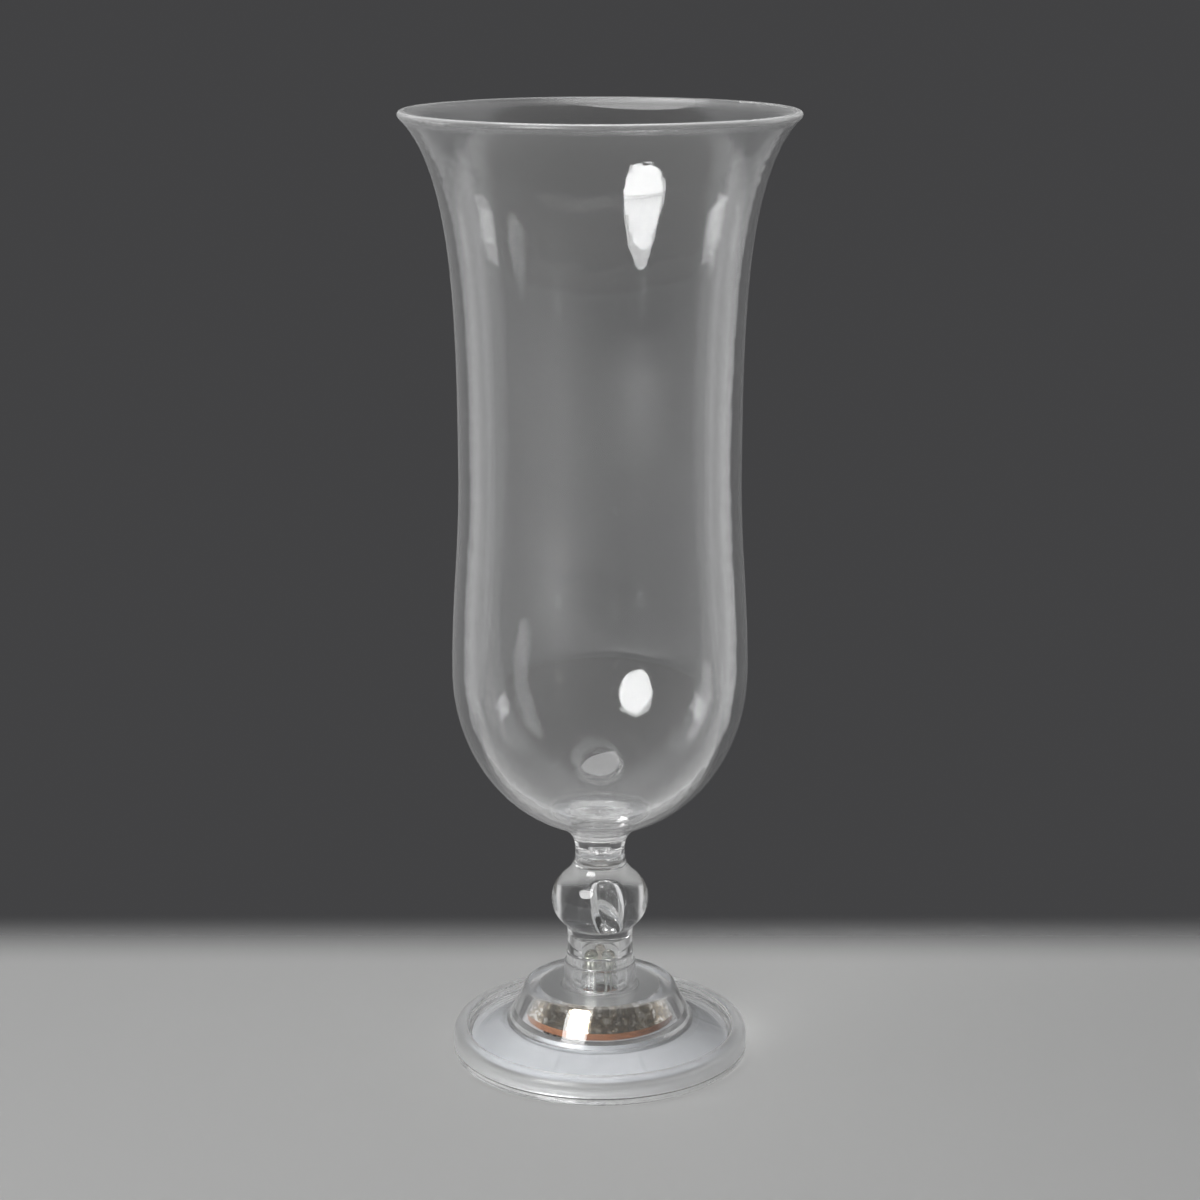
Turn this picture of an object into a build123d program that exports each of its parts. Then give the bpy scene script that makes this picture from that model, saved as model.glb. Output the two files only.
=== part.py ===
from build123d import *
import os
from math import cos, radians, sin, tan

os.makedirs("parts", exist_ok=True)

# All sizes are in millimetres. The axis of the glass is Z and the table is at Z = 0.

# Bowl
total_height = 220.0
rim_radius = 44.4
lip_radius = 0.9
lip_angle = 45.0
flare_reach = 16.5
waist_radius = 32.0
waist_height = 139.0
waist_reach_up = 36.0
waist_reach_down = 17.5
belly_radius = 33.9
belly_height = 92.7
belly_reach = 18.0
belly_depth = 38.4
bowl_wall = 2.5
floor_thickness = 3.0
bottom_sweep = 66.0

# Neck joint
neck_radius = 5.75
neck_height = 48.5
neck_straight = 0.9
neck_skirt = 0.75
pocket_height = 1.2
pin_radius = 1.6
pin_length = 2.6
star_count = 10
star_width = 0.7
star_margin = 0.35
joint_gap = 0.1
fit_clearance = 0.05

# Stem
ball_radius = 11.4
ball_half_height = 8.9
ball_height = 37.3
ball_sweep = 42.0
tube_radius = 7.7
tube_top = 29.0
void_radius = 2.9
void_half_height = 3.9
void_offset = 1.1
void_drop = 1.0
void_tilt = 13.0
spigot_radius = 6.3
bore_radius = 4.4
bore_length = 12.6
bore_cone = 0.5

# Base, stacked up from the table
stand_height = 0.6
plate_thickness = 1.1
seal_thickness = 0.5
strip_thickness = 0.3
cell_height = 5.4
spring_height = 0.6
board_thickness = 1.6
reflector_height = 4.8
reflector_gap = 0.2
dome_plate = 1.5
collar_height = 5.8
sleeve_height = 8.1
cover_top = stand_height + plate_thickness
holder_floor = cover_top + seal_thickness
cell_bottom = cover_top + strip_thickness
cell_top = cell_bottom + cell_height
board_bottom = cell_top + spring_height
board_top = board_bottom + board_thickness
reflector_top = board_top + reflector_height
dome_ceiling = reflector_top + reflector_gap
dome_top = dome_ceiling + dome_plate
collar_top = dome_top + collar_height
sleeve_top = dome_top + sleeve_height

# Foot
foot_radius = 34.7
rim_height = 6.3
rim_width = 3.4
rim_outer_round = 2.4
rim_inner_round = 0.8
seam_gap = 0.1
web_thickness = 1.3
web_angle = 23.0
film_room = 0.6
dome_top_radius = 17.5
dome_wall = 4.0
ridge_round = 1.2
holder_radius = 19.5
seat_clearance = 0.5
seat_gap = 0.2
seat_wall = 1.9
base_round = 1.2
sleeve_wall = 1.5
collar_step = 0.55
ledge_width = 1.1
ledge_thickness = 0.6
edge_round = 0.3
groove_width = 1.1
groove_depth = 2.3
skirt_wall = 1.35
seat_radius = holder_radius + seat_clearance
dome_base_radius = seat_radius + seat_wall
web_edge_radius = foot_radius - rim_width
web_edge_height = cover_top + film_room + web_thickness
web_slope = tan(radians(web_angle))
dome_base_height = web_edge_height + (web_edge_radius - dome_base_radius) * web_slope
dome_taper = (dome_base_radius - dome_top_radius) / (dome_top - dome_base_height)
socket_radius = spigot_radius + fit_clearance
sleeve_radius = socket_radius + sleeve_wall
collar_radius = sleeve_radius + collar_step
ledge_radius = socket_radius - ledge_width
ledge_top = dome_ceiling + ledge_thickness
seat_top = board_bottom + seat_gap
skirt_bottom = cover_top + seam_gap
groove_outer = foot_radius - skirt_wall
groove_inner = groove_outer - groove_width
groove_top = skirt_bottom + groove_depth

# Bottom cover, diffuser film and reflector
cover_inset = 0.05
stand_width = 3.0
cover_round = 0.3
opening_radius = 20.5
tongue_clearance = 0.1
film_thickness = 0.5
film_gap = 0.1
film_inner_radius = 21.6
film_edge_gap = 0.3
reflector_wall = 0.8
reflector_side_gap = 0.3
reflector_round = 0.7
reflector_hole = 4.7

# Board and lights
board_side_gap = 0.3
led_count = 3
led_circle = 2.25
led_radius = 1.5
led_flange_radius = 1.9
led_flange_height = 1.0
led_height = 5.3
lead_radius = 0.25
lead_pitch = 2.54
lead_hole_radius = 0.4
lead_tail = 0.2
lead_height = 10.2
chip_radius = 2.6
chip_height = 1.2
chip_position = 11.0
resistor_length = 2.0
resistor_width = 1.25
resistor_height = 0.5
resistor_position = 9.5
resistor_count = 3

# Switch and button
switch_side = 6.0
switch_height = 3.5
switch_wall = 0.6
switch_pin_radius = 0.35
switch_pin_hole = 0.45
switch_pin_length = 2.3
switch_pin_spacing = 4.6
plunger_radius = 1.65
plunger_flange_radius = 2.3
plunger_flange_height = 0.8
plunger_reach = 1.0
plunger_clearance = 0.3
button_travel = 0.6
button_recess = 0.3
button_radius = 4.2
button_clearance = 0.3
button_flange_width = 1.1
button_flange_height = 0.8
button_post_radius = 1.8
button_round = 0.4

# Cells, holder and door
cell_count = 3
cell_radius = 5.8
cell_cap_inset = 0.9
cell_cap_height = 0.8
cell_round = 0.25
cell_circle = 12.8
cell_clearance = 0.15
holder_flange_radius = 23.5
holder_flange_height = 0.7
holder_step_gap = 0.2
well_hole_radius = 5.8
spring_thickness = 0.25
spring_base = 3.2
spring_run = 3.0
spring_tip = 1.2
spring_width = 3.0
strip_width = 2.6
return_angle = 282.0
return_radius = 0.9
return_clearance = 0.1
door_clearance = 0.2
seal_width = 0.9
seal_inset = 0.2
screw_circle = 15.2
screw_head_radius = 1.7
screw_head_height = 0.9
screw_shank_radius = 0.8
screw_length = 5.6
screw_sink = 0.05
recess_width = 0.4
recess_length = 1.9
recess_depth = 0.45


def turned(outline):
    """Revolve a closed outline, drawn as radius and height, about the axis of the glass."""
    return revolve(Plane.XZ * make_face(outline), Axis.Z, 360)


def rounded(points, rounds):
    """Closed outline through the points, with the corners listed in rounds filleted."""
    face = make_face(Polyline(*points, close=True))
    for point, radius in rounds:
        corner = face.vertices().sort_by_distance((point[0], point[1], 0))[0]
        face = fillet(corner, radius)
    return revolve(Plane.XZ * face, Axis.Z, 360)


def rod(radius, bottom, top, x=0.0, y=0.0):
    """Upright round rod between two heights."""
    return Pos(x, y, bottom) * Cylinder(radius, top - bottom, align=(Align.CENTER, Align.CENTER, Align.MIN))


def tube(outer, inner, bottom, top):
    """Upright ring between two heights."""
    return rod(outer, bottom, top) - rod(inner, bottom, top)


def around(count, circle, start=0.0):
    """Points spaced evenly round the axis, with their angles."""
    for index in range(count):
        angle = start + index * 360.0 / count
        yield circle * cos(radians(angle)), circle * sin(radians(angle)), angle


def dome_inside(height):
    """Inner radius of the dome's cone at a height."""
    return dome_base_radius - dome_wall - (height - dome_base_height) * dome_taper


def web_under(radius):
    """Height of the underside of the sloping web at a radius."""
    return web_edge_height - web_thickness + (web_edge_radius - radius) * web_slope


def oval_arc(height, across, up, start, end):
    """Cubic arc of an oval centred on the axis, between two angles up to a quarter turn apart."""
    first, last = radians(start), radians(end)
    reach = 4 / 3 * tan((last - first) / 4)
    begin = Vector(across * cos(first), height + up * sin(first))
    finish = Vector(across * cos(last), height + up * sin(last))
    leave = Vector(-across * sin(first), up * cos(first)) * reach
    arrive = Vector(-across * sin(last), up * cos(last)) * reach
    return Bezier(begin, begin + leave, finish - arrive, finish)


def bowl_side(inset, side):
    """One face of the bowl's wall from lip to belly: inset is 0 outside and the wall inside."""
    lip_across = Vector(cos(radians(lip_angle)), -sin(radians(lip_angle))) * lip_radius * side
    lip_along = Vector(sin(radians(lip_angle)), cos(radians(lip_angle)))
    lip = Vector(rim_radius - lip_radius, total_height - lip_radius) + lip_across
    waist = Vector(waist_radius - inset, waist_height)
    belly = Vector(belly_radius - inset, belly_height)
    flare = Bezier(lip, lip - lip_along * flare_reach, waist + Vector(0, waist_reach_up), waist)
    swell = Bezier(waist, waist - Vector(0, waist_reach_down), belly + Vector(0, belly_reach), belly)
    return flare, swell


def make_bowl():
    """Flared tumbler: rounded lip, solid neck, pin socket and a star of grooves in the pocket under it."""
    flare_out, swell_out = bowl_side(0.0, 1)
    flare_in, swell_in = bowl_side(bowl_wall, -1)
    lip_top = Vector(rim_radius - lip_radius, total_height - lip_radius)
    lip_top += Vector(sin(radians(lip_angle)), cos(radians(lip_angle))) * lip_radius
    lip = ThreePointArc(flare_in @ 0, lip_top, flare_out @ 0)
    bottom_out = oval_arc(belly_height, belly_radius, belly_depth, 0, -bottom_sweep)
    bottom_in = oval_arc(belly_height, belly_radius - bowl_wall, belly_depth - floor_thickness, 0, -90)
    neck_bottom = neck_height + joint_gap
    neck_top = Vector(neck_radius, neck_bottom + neck_straight)
    neck = Spline(bottom_out @ 1, neck_top, tangents=(bottom_out % 1, (0, -1)))
    pocket_top = neck_height + pocket_height
    pocket = neck_radius - neck_skirt
    socket_top = neck_height + pin_length
    socket = pin_radius + fit_clearance
    below = Polyline(
        neck_top, (neck_radius, neck_bottom), (pocket, neck_bottom), (pocket, pocket_top),
        (socket, pocket_top), (socket, socket_top), (0, socket_top), bottom_in @ 1)
    bowl = turned(Curve() + [flare_out, swell_out, bottom_out, neck, below, bottom_in, swell_in, flare_in, lip])
    inner, outer = socket + star_margin, pocket - star_margin
    side = star_width / 2 ** 0.5
    for _, _, angle in around(star_count, pocket, 90.0):
        groove = Pos((inner + outer) / 2, 0, pocket_top) * Rot(45, 0, 0) * Box(outer - inner, side, side)
        bowl -= Rot(0, 0, angle) * groove
    return bowl


def make_stem():
    """Clear ball on a tube: pin above, spigot below, hollow for the lights and the void in the ball."""
    ball = oval_arc(ball_height, ball_radius, ball_half_height, -ball_sweep, ball_sweep)
    shoulder = sleeve_top + joint_gap
    tube_end = Vector(tube_radius, tube_top)
    neck_end = Vector(neck_radius, neck_height)
    under = Spline(tube_end, ball @ 0, tangents=((0, 1), ball % 0))
    over = Spline(ball @ 1, neck_end, tangents=(ball % 1, (0, 1)))
    pin_top = neck_height + pin_length
    bore_top = ledge_top + bore_length
    rest = Polyline(
        neck_end, (pin_radius, neck_height), (pin_radius, pin_top), (0, pin_top),
        (0, bore_top + bore_cone), (bore_radius, bore_top),
        (bore_radius, ledge_top), (spigot_radius, ledge_top), (spigot_radius, shoulder),
        (tube_radius, shoulder), tube_end)
    stem = turned(Curve() + [under, ball, over, rest])
    lower = oval_arc(0, void_radius, void_half_height, -90, 0)
    upper = oval_arc(0, void_radius, void_half_height, 0, 90)
    void = turned(Curve() + [lower, upper, Line(upper @ 1, lower @ 0)])
    return stem - Pos(void_offset, 0, ball_height - void_drop) * Rot(0, -void_tilt, 0) * void


def make_foot():
    """Clear foot: sleeve, collar, thick dome with a seat for the holder, sloping web, rim and cover groove."""
    edge_under = web_edge_height - web_thickness
    points = [
        (ledge_radius, dome_ceiling), (ledge_radius, ledge_top), (socket_radius, ledge_top),
        (socket_radius, sleeve_top), (sleeve_radius, sleeve_top), (sleeve_radius, collar_top),
        (collar_radius, collar_top), (collar_radius, dome_top),
        (dome_top_radius, dome_top), (dome_base_radius, dome_base_height),
        (web_edge_radius, web_edge_height), (web_edge_radius, rim_height), (foot_radius, rim_height),
        (foot_radius, skirt_bottom), (groove_outer, skirt_bottom), (groove_outer, groove_top),
        (groove_inner, groove_top), (groove_inner, edge_under), (web_edge_radius, edge_under),
        (seat_radius, web_under(seat_radius)), (seat_radius, seat_top),
        (dome_inside(seat_top), seat_top), (dome_inside(dome_ceiling), dome_ceiling)]
    rounds = [
        ((sleeve_radius, sleeve_top), edge_round), ((collar_radius, collar_top), edge_round),
        ((collar_radius, dome_top), base_round),
        ((dome_top_radius, dome_top), ridge_round), ((dome_base_radius, dome_base_height), base_round),
        ((web_edge_radius, web_edge_height), rim_inner_round), ((web_edge_radius, rim_height), rim_inner_round),
        ((foot_radius, rim_height), rim_outer_round)]
    return rounded(points, rounds)


def make_bottom_cover():
    """Clear bottom disc with the ring it stands on and the tongue that goes into the foot."""
    cover_radius = foot_radius - cover_inset
    ring_inner = cover_radius - stand_width
    tongue_outer = groove_outer - tongue_clearance
    tongue_inner = groove_inner + tongue_clearance
    points = [
        (opening_radius, stand_height), (ring_inner, stand_height), (ring_inner, 0), (cover_radius, 0),
        (cover_radius, cover_top), (tongue_outer, cover_top), (tongue_outer, groove_top),
        (tongue_inner, groove_top), (tongue_inner, cover_top), (opening_radius, cover_top)]
    return rounded(points, [((cover_radius, 0), cover_round)])


def make_diffuser_ring():
    """Frosted film cone under the web, standing on the bottom cover by its outer edge."""
    outer = web_edge_radius - film_edge_gap
    edge = outer - film_thickness
    drop = film_gap + film_thickness
    points = [
        (film_inner_radius, web_under(film_inner_radius) - film_gap), (outer, web_under(outer) - film_gap),
        (outer, cover_top), (edge, cover_top), (edge, web_under(edge) - drop),
        (film_inner_radius, web_under(film_inner_radius) - drop)]
    return rounded(points, [])


def make_reflector_cup():
    """Silvered cup on the board that follows the inside of the dome."""
    low = dome_inside(board_top) - reflector_side_gap
    high = dome_inside(reflector_top) - reflector_side_gap
    under = reflector_top - reflector_wall
    points = [
        (low, board_top), (high, reflector_top), (reflector_hole, reflector_top), (reflector_hole, under),
        (high - reflector_wall, under), (low - reflector_wall, board_top)]
    return rounded(points, [((high, reflector_top), reflector_round)])


def lead_points():
    """Two lead positions for each light."""
    for x, y, angle in around(led_count, led_circle, 90.0):
        for side in (-1, 1):
            reach = side * lead_pitch / 2
            yield x - reach * sin(radians(angle)), y + reach * cos(radians(angle))


def switch_pin_points():
    """The four corners where the switch's pins go through the board."""
    half = switch_pin_spacing / 2
    for x in (-half, half):
        for y in (-half, half):
            yield x, y


def make_circuit_board():
    """Round board with holes for the leads and the switch pins."""
    board = rod(dome_inside(board_top) - board_side_gap, board_bottom, board_top)
    for x, y in lead_points():
        board -= rod(lead_hole_radius, board_bottom, board_top, x, y)
    for x, y in switch_pin_points():
        board -= rod(switch_pin_hole, board_bottom, board_top, x, y)
    return board


def make_led(index):
    """One 3 mm light: flange, round body and dome."""
    x, y, _ = list(around(led_count, led_circle, 90.0))[index]
    bottom = board_top + lead_height
    dome_start = bottom + led_height - led_radius
    flange = rod(led_flange_radius, bottom, bottom + led_flange_height, x, y)
    body = rod(led_radius, bottom, dome_start, x, y)
    dome = Pos(x, y, dome_start) * Sphere(led_radius)
    return flange + body + dome


def make_led_leads():
    """Six wire legs from the lights down into the board."""
    bottom = board_bottom + lead_tail
    top = board_top + lead_height
    return Compound(children=[rod(lead_radius, bottom, top, x, y) for x, y in lead_points()])


def make_controller_chip():
    """Drop of black epoxy over the flash controller, a cap cut from a ball."""
    ball = (chip_radius ** 2 + chip_height ** 2) / (2 * chip_height)
    drop = Pos(0, -chip_position, board_top + chip_height - ball) * Sphere(ball)
    return drop & rod(chip_radius * 2, board_top, board_top + 2 * chip_height, 0, -chip_position)


def make_resistors():
    """Three small resistors on the board, one for each light."""
    block = Box(resistor_length, resistor_width, resistor_height, align=(Align.CENTER, Align.CENTER, Align.MIN))
    pieces = []
    for x, y, angle in around(resistor_count, resistor_position, 90.0):
        pieces.append(Pos(x, y, board_top) * Rot(0, 0, angle) * block)
    return Compound(children=pieces)


switch_bottom = board_bottom - switch_height
plunger_bottom = switch_bottom - plunger_reach
cavity_bottom = switch_bottom + switch_wall
cavity_top = cavity_bottom + plunger_flange_height + button_travel + plunger_clearance


def make_switch_body():
    """Square push switch hung under the board, hollow for the plunger's flange."""
    body = Pos(0, 0, switch_bottom) * Box(
        switch_side, switch_side, switch_height, align=(Align.CENTER, Align.CENTER, Align.MIN))
    body -= rod(plunger_flange_radius + plunger_clearance, cavity_bottom, cavity_top)
    return body - rod(plunger_radius + plunger_clearance, switch_bottom, cavity_bottom)


def make_switch_pins():
    """Four pins from the switch up through the board."""
    top = board_bottom + switch_pin_length
    return Compound(children=[rod(switch_pin_radius, board_bottom, top, x, y) for x, y in switch_pin_points()])


def make_switch_plunger():
    """Plunger with the flange that keeps it in the switch."""
    flange = rod(plunger_flange_radius, cavity_bottom, cavity_bottom + plunger_flange_height)
    return rod(plunger_radius, plunger_bottom, cavity_bottom) + flange


def make_power_button():
    """Round button in the middle of the door, flanged behind it, with a post to the plunger."""
    cap = rod(button_radius, button_recess, cover_top)
    cap = fillet(cap.edges().group_by(Axis.Z)[0], button_round)
    flange = rod(button_radius + button_flange_width, cover_top, cover_top + button_flange_height)
    post = rod(button_post_radius, cover_top + button_flange_height, plunger_bottom)
    return cap + flange + post


def cell_points():
    """Centres of the three wells."""
    return list(around(cell_count, cell_circle, 0.0))


def screw_points():
    """Centres of the three screws, between the wells."""
    return list(around(cell_count, screw_circle, 180.0 / cell_count))


def make_battery_holder():
    """Moulded holder on the bottom cover: three wells, a middle hole, screw holes and the post's hole."""
    step = opening_radius + holder_step_gap
    flange_top = holder_floor + holder_flange_height
    points = [
        (well_hole_radius, holder_floor), (step, holder_floor), (step, cover_top),
        (holder_flange_radius, cover_top), (holder_flange_radius, flange_top), (holder_radius, flange_top),
        (holder_radius, board_bottom), (well_hole_radius, board_bottom)]
    holder = rounded(points, [])
    for x, y, _ in cell_points():
        holder -= rod(cell_radius + cell_clearance, holder_floor, board_bottom, x, y)
    for x, y, _ in screw_points():
        holder -= rod(screw_shank_radius + fit_clearance, holder_floor, board_bottom, x, y)
    x = cell_circle * cos(radians(return_angle))
    y = cell_circle * sin(radians(return_angle))
    return holder - rod(return_radius + return_clearance, holder_floor, board_bottom, x, y)


def make_button_cell(index):
    """One button cell: wide can and narrower cap; the middle cell lies the other way up."""
    x, y, _ = cell_points()[index]
    can_height = cell_height - cell_cap_height
    cap_radius = cell_radius - cell_cap_inset
    points = [
        (0, 0), (cap_radius, 0), (cap_radius, cell_cap_height), (cell_radius, cell_cap_height),
        (cell_radius, cell_height), (0, cell_height)]
    cell = rounded(points, [((cell_radius, cell_height), cell_round), ((cell_radius, cell_cap_height), cell_round)])
    if index == 1:
        return Pos(x, y, cell_top) * Rot(180, 0, 0) * cell
    return Pos(x, y, cell_bottom) * cell


def make_cell_spring(index):
    """Leaf contact: a flat on the board, a slope down and a flat on the cell."""
    x, y, angle = cell_points()[index]
    slope_start = spring_base - spring_run - spring_tip / 2
    tip_start = slope_start + spring_run
    tip_end = tip_start + spring_tip
    points = [
        (slope_start - spring_base, spring_height), (slope_start, spring_height),
        (tip_start, spring_thickness), (tip_end, spring_thickness), (tip_end, 0), (tip_start, 0),
        (slope_start, spring_height - spring_thickness), (slope_start - spring_base, spring_height - spring_thickness)]
    leaf = Plane.XZ * make_face(Polyline(*points, close=True))
    leaf = extrude(leaf, spring_width / 2, both=True)
    return Pos(x, y, cell_top) * Rot(0, 0, angle) * leaf


def make_return_post():
    """Round post from the return strip up to the board."""
    x = cell_circle * cos(radians(return_angle))
    y = cell_circle * sin(radians(return_angle))
    return rod(return_radius, cell_bottom, board_bottom, x, y)


def make_strip(start, end):
    """Flat contact strip on the door, bent round the button between two angles."""
    ring = tube(cell_circle + strip_width / 2, cell_circle - strip_width / 2, cover_top, cell_bottom)
    middle = radians((start + end) / 2)
    half = radians((end - start) / 2)
    reach = 2 * cell_circle
    wedge = make_face(Polyline(
        (0, 0), (reach * cos(middle - half), reach * sin(middle - half)),
        (2 * reach * cos(middle), 2 * reach * sin(middle)),
        (reach * cos(middle + half), reach * sin(middle + half)), close=True))
    strip = ring & extrude(Pos(0, 0, cover_top) * wedge, strip_thickness)
    for angle in (start, end):
        x = cell_circle * cos(radians(angle))
        y = cell_circle * sin(radians(angle))
        strip += rod(strip_width / 2, cover_top, cell_bottom, x, y)
    return strip


def make_battery_door():
    """Round door flush with the bottom cover: button hole and three countersunk holes."""
    door = rod(opening_radius - door_clearance, stand_height, cover_top)
    door -= rod(button_radius + button_clearance, stand_height, cover_top)
    hole = screw_shank_radius + 2 * fit_clearance
    for x, y, _ in screw_points():
        door -= rod(hole, stand_height, cover_top, x, y)
        sink = Cone(
            screw_head_radius + 2 * fit_clearance, hole, screw_head_height,
            align=(Align.CENTER, Align.CENTER, Align.MIN))
        door -= Pos(x, y, stand_height) * sink
    return door


def make_door_seal():
    """Square ring between the door and the holder."""
    outer = opening_radius - door_clearance - seal_inset
    return tube(outer, outer - seal_width, cover_top, holder_floor)


def make_door_screws():
    """Three countersunk screws with cross recesses."""
    recess = Box(recess_length, recess_width, recess_depth, align=(Align.CENTER, Align.CENTER, Align.MIN))
    recess += Rot(0, 0, 90) * recess
    pieces = []
    for x, y, angle in screw_points():
        head = Cone(
            screw_head_radius, screw_shank_radius, screw_head_height,
            align=(Align.CENTER, Align.CENTER, Align.MIN))
        screw = head + rod(screw_shank_radius, screw_head_height, screw_length) - recess
        pieces.append(Pos(x, y, stand_height + screw_sink) * Rot(0, 0, angle) * screw)
    return Compound(children=pieces)


def save(name, shape):
    """Write one node's file."""
    export_step(shape, "parts/" + name + ".step")


save("bowl", make_bowl())
save("stem", make_stem())
save("foot", make_foot())
save("bottom_cover", make_bottom_cover())
save("diffuser_ring", make_diffuser_ring())
save("reflector_cup", make_reflector_cup())
save("circuit_board", make_circuit_board())
for led_index, led_colour in enumerate(("red", "green", "blue")):
    save("led_" + led_colour, make_led(led_index))
save("led_leads", make_led_leads())
save("controller_chip", make_controller_chip())
save("resistors", make_resistors())
save("switch_body", make_switch_body())
save("switch_pins", make_switch_pins())
save("switch_plunger", make_switch_plunger())
save("power_button", make_power_button())
save("battery_holder", make_battery_holder())
for cell_index, letter in enumerate(("a", "b", "c")):
    save("button_cell_" + letter, make_button_cell(cell_index))
    save("cell_spring_" + letter, make_cell_spring(cell_index))
save("return_post", make_return_post())
save("lower_contact_link", make_strip(0.0, 120.0))
save("lower_contact_return", make_strip(240.0, return_angle))
save("battery_door", make_battery_door())
save("door_seal", make_door_seal())
save("door_screws", make_door_screws())
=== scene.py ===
"""Looks of a clear plastic hurricane glass with a battery light in its foot.

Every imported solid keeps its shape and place. The classes below give each one its finish, add the small
repeated details that ride on them, and set up a plain studio at the angle of the photograph.
"""

import logging
import math
from dataclasses import dataclass
from enum import Enum

import bpy
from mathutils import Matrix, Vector


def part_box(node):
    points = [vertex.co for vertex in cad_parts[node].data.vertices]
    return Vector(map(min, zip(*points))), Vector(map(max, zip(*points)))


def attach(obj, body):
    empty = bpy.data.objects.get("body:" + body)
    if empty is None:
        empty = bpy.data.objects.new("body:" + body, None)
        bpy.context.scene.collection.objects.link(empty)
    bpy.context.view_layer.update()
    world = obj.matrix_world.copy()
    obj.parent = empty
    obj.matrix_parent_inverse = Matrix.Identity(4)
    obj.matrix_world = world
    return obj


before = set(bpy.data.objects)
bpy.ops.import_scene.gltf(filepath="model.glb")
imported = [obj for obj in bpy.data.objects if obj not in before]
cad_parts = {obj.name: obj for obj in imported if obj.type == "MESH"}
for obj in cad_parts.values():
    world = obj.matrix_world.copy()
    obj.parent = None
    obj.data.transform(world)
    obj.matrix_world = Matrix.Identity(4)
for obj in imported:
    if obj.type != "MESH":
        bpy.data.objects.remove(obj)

Pair = tuple[float, float]
Triple = tuple[float, float, float]
Socket = bpy.types.NodeSocket
Material = bpy.types.Material

LOG = logging.getLogger("hurricane_glass")
MM = 0.001
ORIGIN: Triple = (0.0, 0.0, 0.0)
FLAT: Triple = (1.0, 1.0, 0.0)

# Most of a cloudy pattern lies between these values, so a finish goes from one look to the other there.
CLOUD_ENDS: Pair = (0.3, 0.7)


class Body(Enum):
    """The bodies of the part that added details ride on."""

    GLASS = "glass"
    DOOR = "battery_door"
    BUTTON = "power_button"


class Slot(Enum):
    """Names of the record's material slots for the added details."""

    WIRE = "tinned_wire"
    BUTTON = "button_plastic"
    SEAL = "seal_rubber"
    SCREW = "screw_steel"


class EdgeWay(Enum):
    """How a satin edge is measured on a moulding."""

    HEIGHT = "up from the table"
    REACH = "out from the axis"


class LampForm(Enum):
    """Outline of a lamp's bright face."""

    OBLONG = "RECTANGLE"
    ROUND = "ELLIPSE"


class LampReach(Enum):
    """Whether a lamp lights the solids named for it alone, or all but those."""

    ONLY = "INCLUDE"
    ALL_BUT = "EXCLUDE"


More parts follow.
